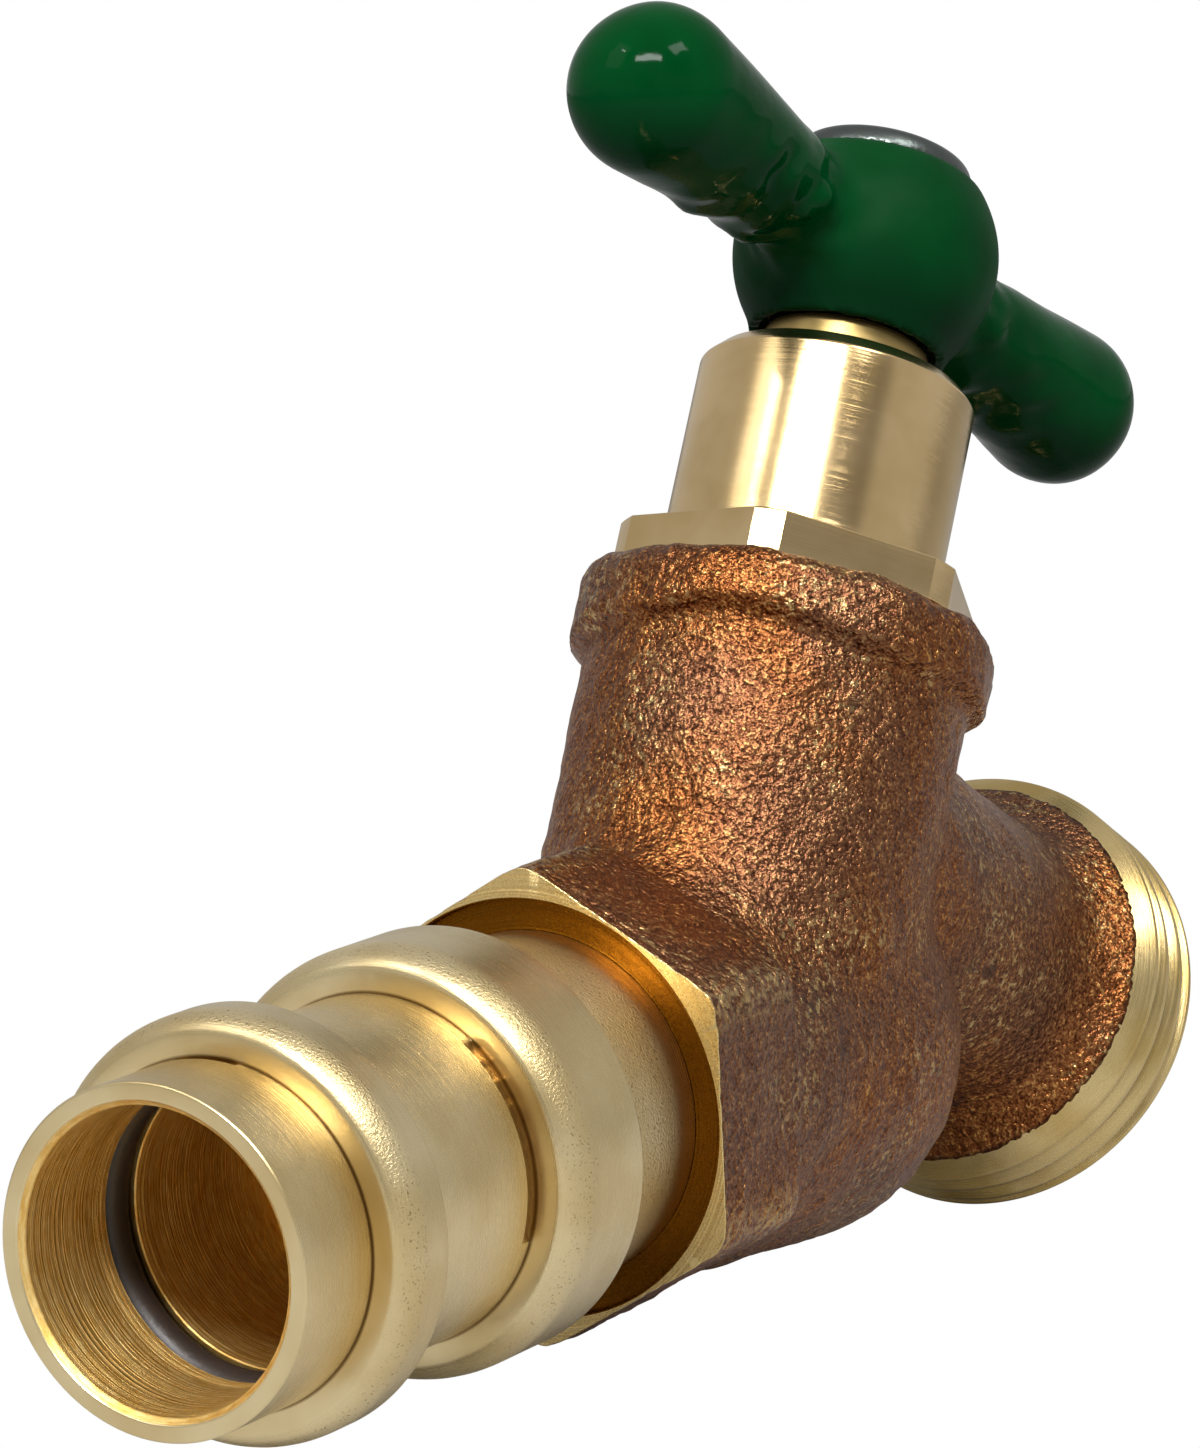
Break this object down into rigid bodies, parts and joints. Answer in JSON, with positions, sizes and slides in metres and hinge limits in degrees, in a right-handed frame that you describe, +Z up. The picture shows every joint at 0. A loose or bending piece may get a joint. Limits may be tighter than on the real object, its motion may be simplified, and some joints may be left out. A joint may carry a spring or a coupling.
{
  "type": "hose bibb",
  "caption": "Angled rough bronze hose tap with a press-fit tube socket, a hose thread outlet, a hexagonal brass headwork and a green dipped tee handle that turns a quarter turn.",
  "frame": {"origin": "centre of the mouth of the press socket, on its axis", "axes": "+Y out of the press socket, towards the supply tube; +Z up, square to the socket in the plane of the stem; X across the tap; the outlet runs towards -Y and down"},
  "size_m": [0.027, 0.1054, 0.0776],
  "materials": {
    "cast_bronze": "rough as cast",
    "press_brass": "turned and polished",
    "headwork_brass": "turned",
    "seal_rubber": "matt",
    "ceramic": "lapped",
    "stainless": "bright",
    "handle_metal": "as cast",
    "washer_plastic": "matt",
    "green_vinyl": "dipped, glossy"
  },
  "bodies": {
    "valve": {"valve_body": "cast_bronze", "press_adapter": "press_brass", "press_seal_ring": "seal_rubber", "bonnet": "headwork_brass", "bonnet_seal_ring": "seal_rubber", "gland_bush": "headwork_brass", "seat_seal": "seal_rubber", "seal_support_ring": "washer_plastic", "fixed_disc": "ceramic"},
    "handle": {"stem": "headwork_brass", "moving_disc": "ceramic", "stem_seal_rings": "seal_rubber", "thrust_washer": "washer_plastic", "stem_clip": "stainless", "handle_core": "handle_metal", "handle_coating": "green_vinyl", "handle_screw": "stainless"}
  },
  "joints": [
    {"name": "handle_turn", "type": "hinge", "parent": "valve", "child": "handle", "pos_m": [0, -0.07988, 0.04416], "axis": [0, -0.4787, 0.878], "range_deg": [-90, 0]}
  ]
}
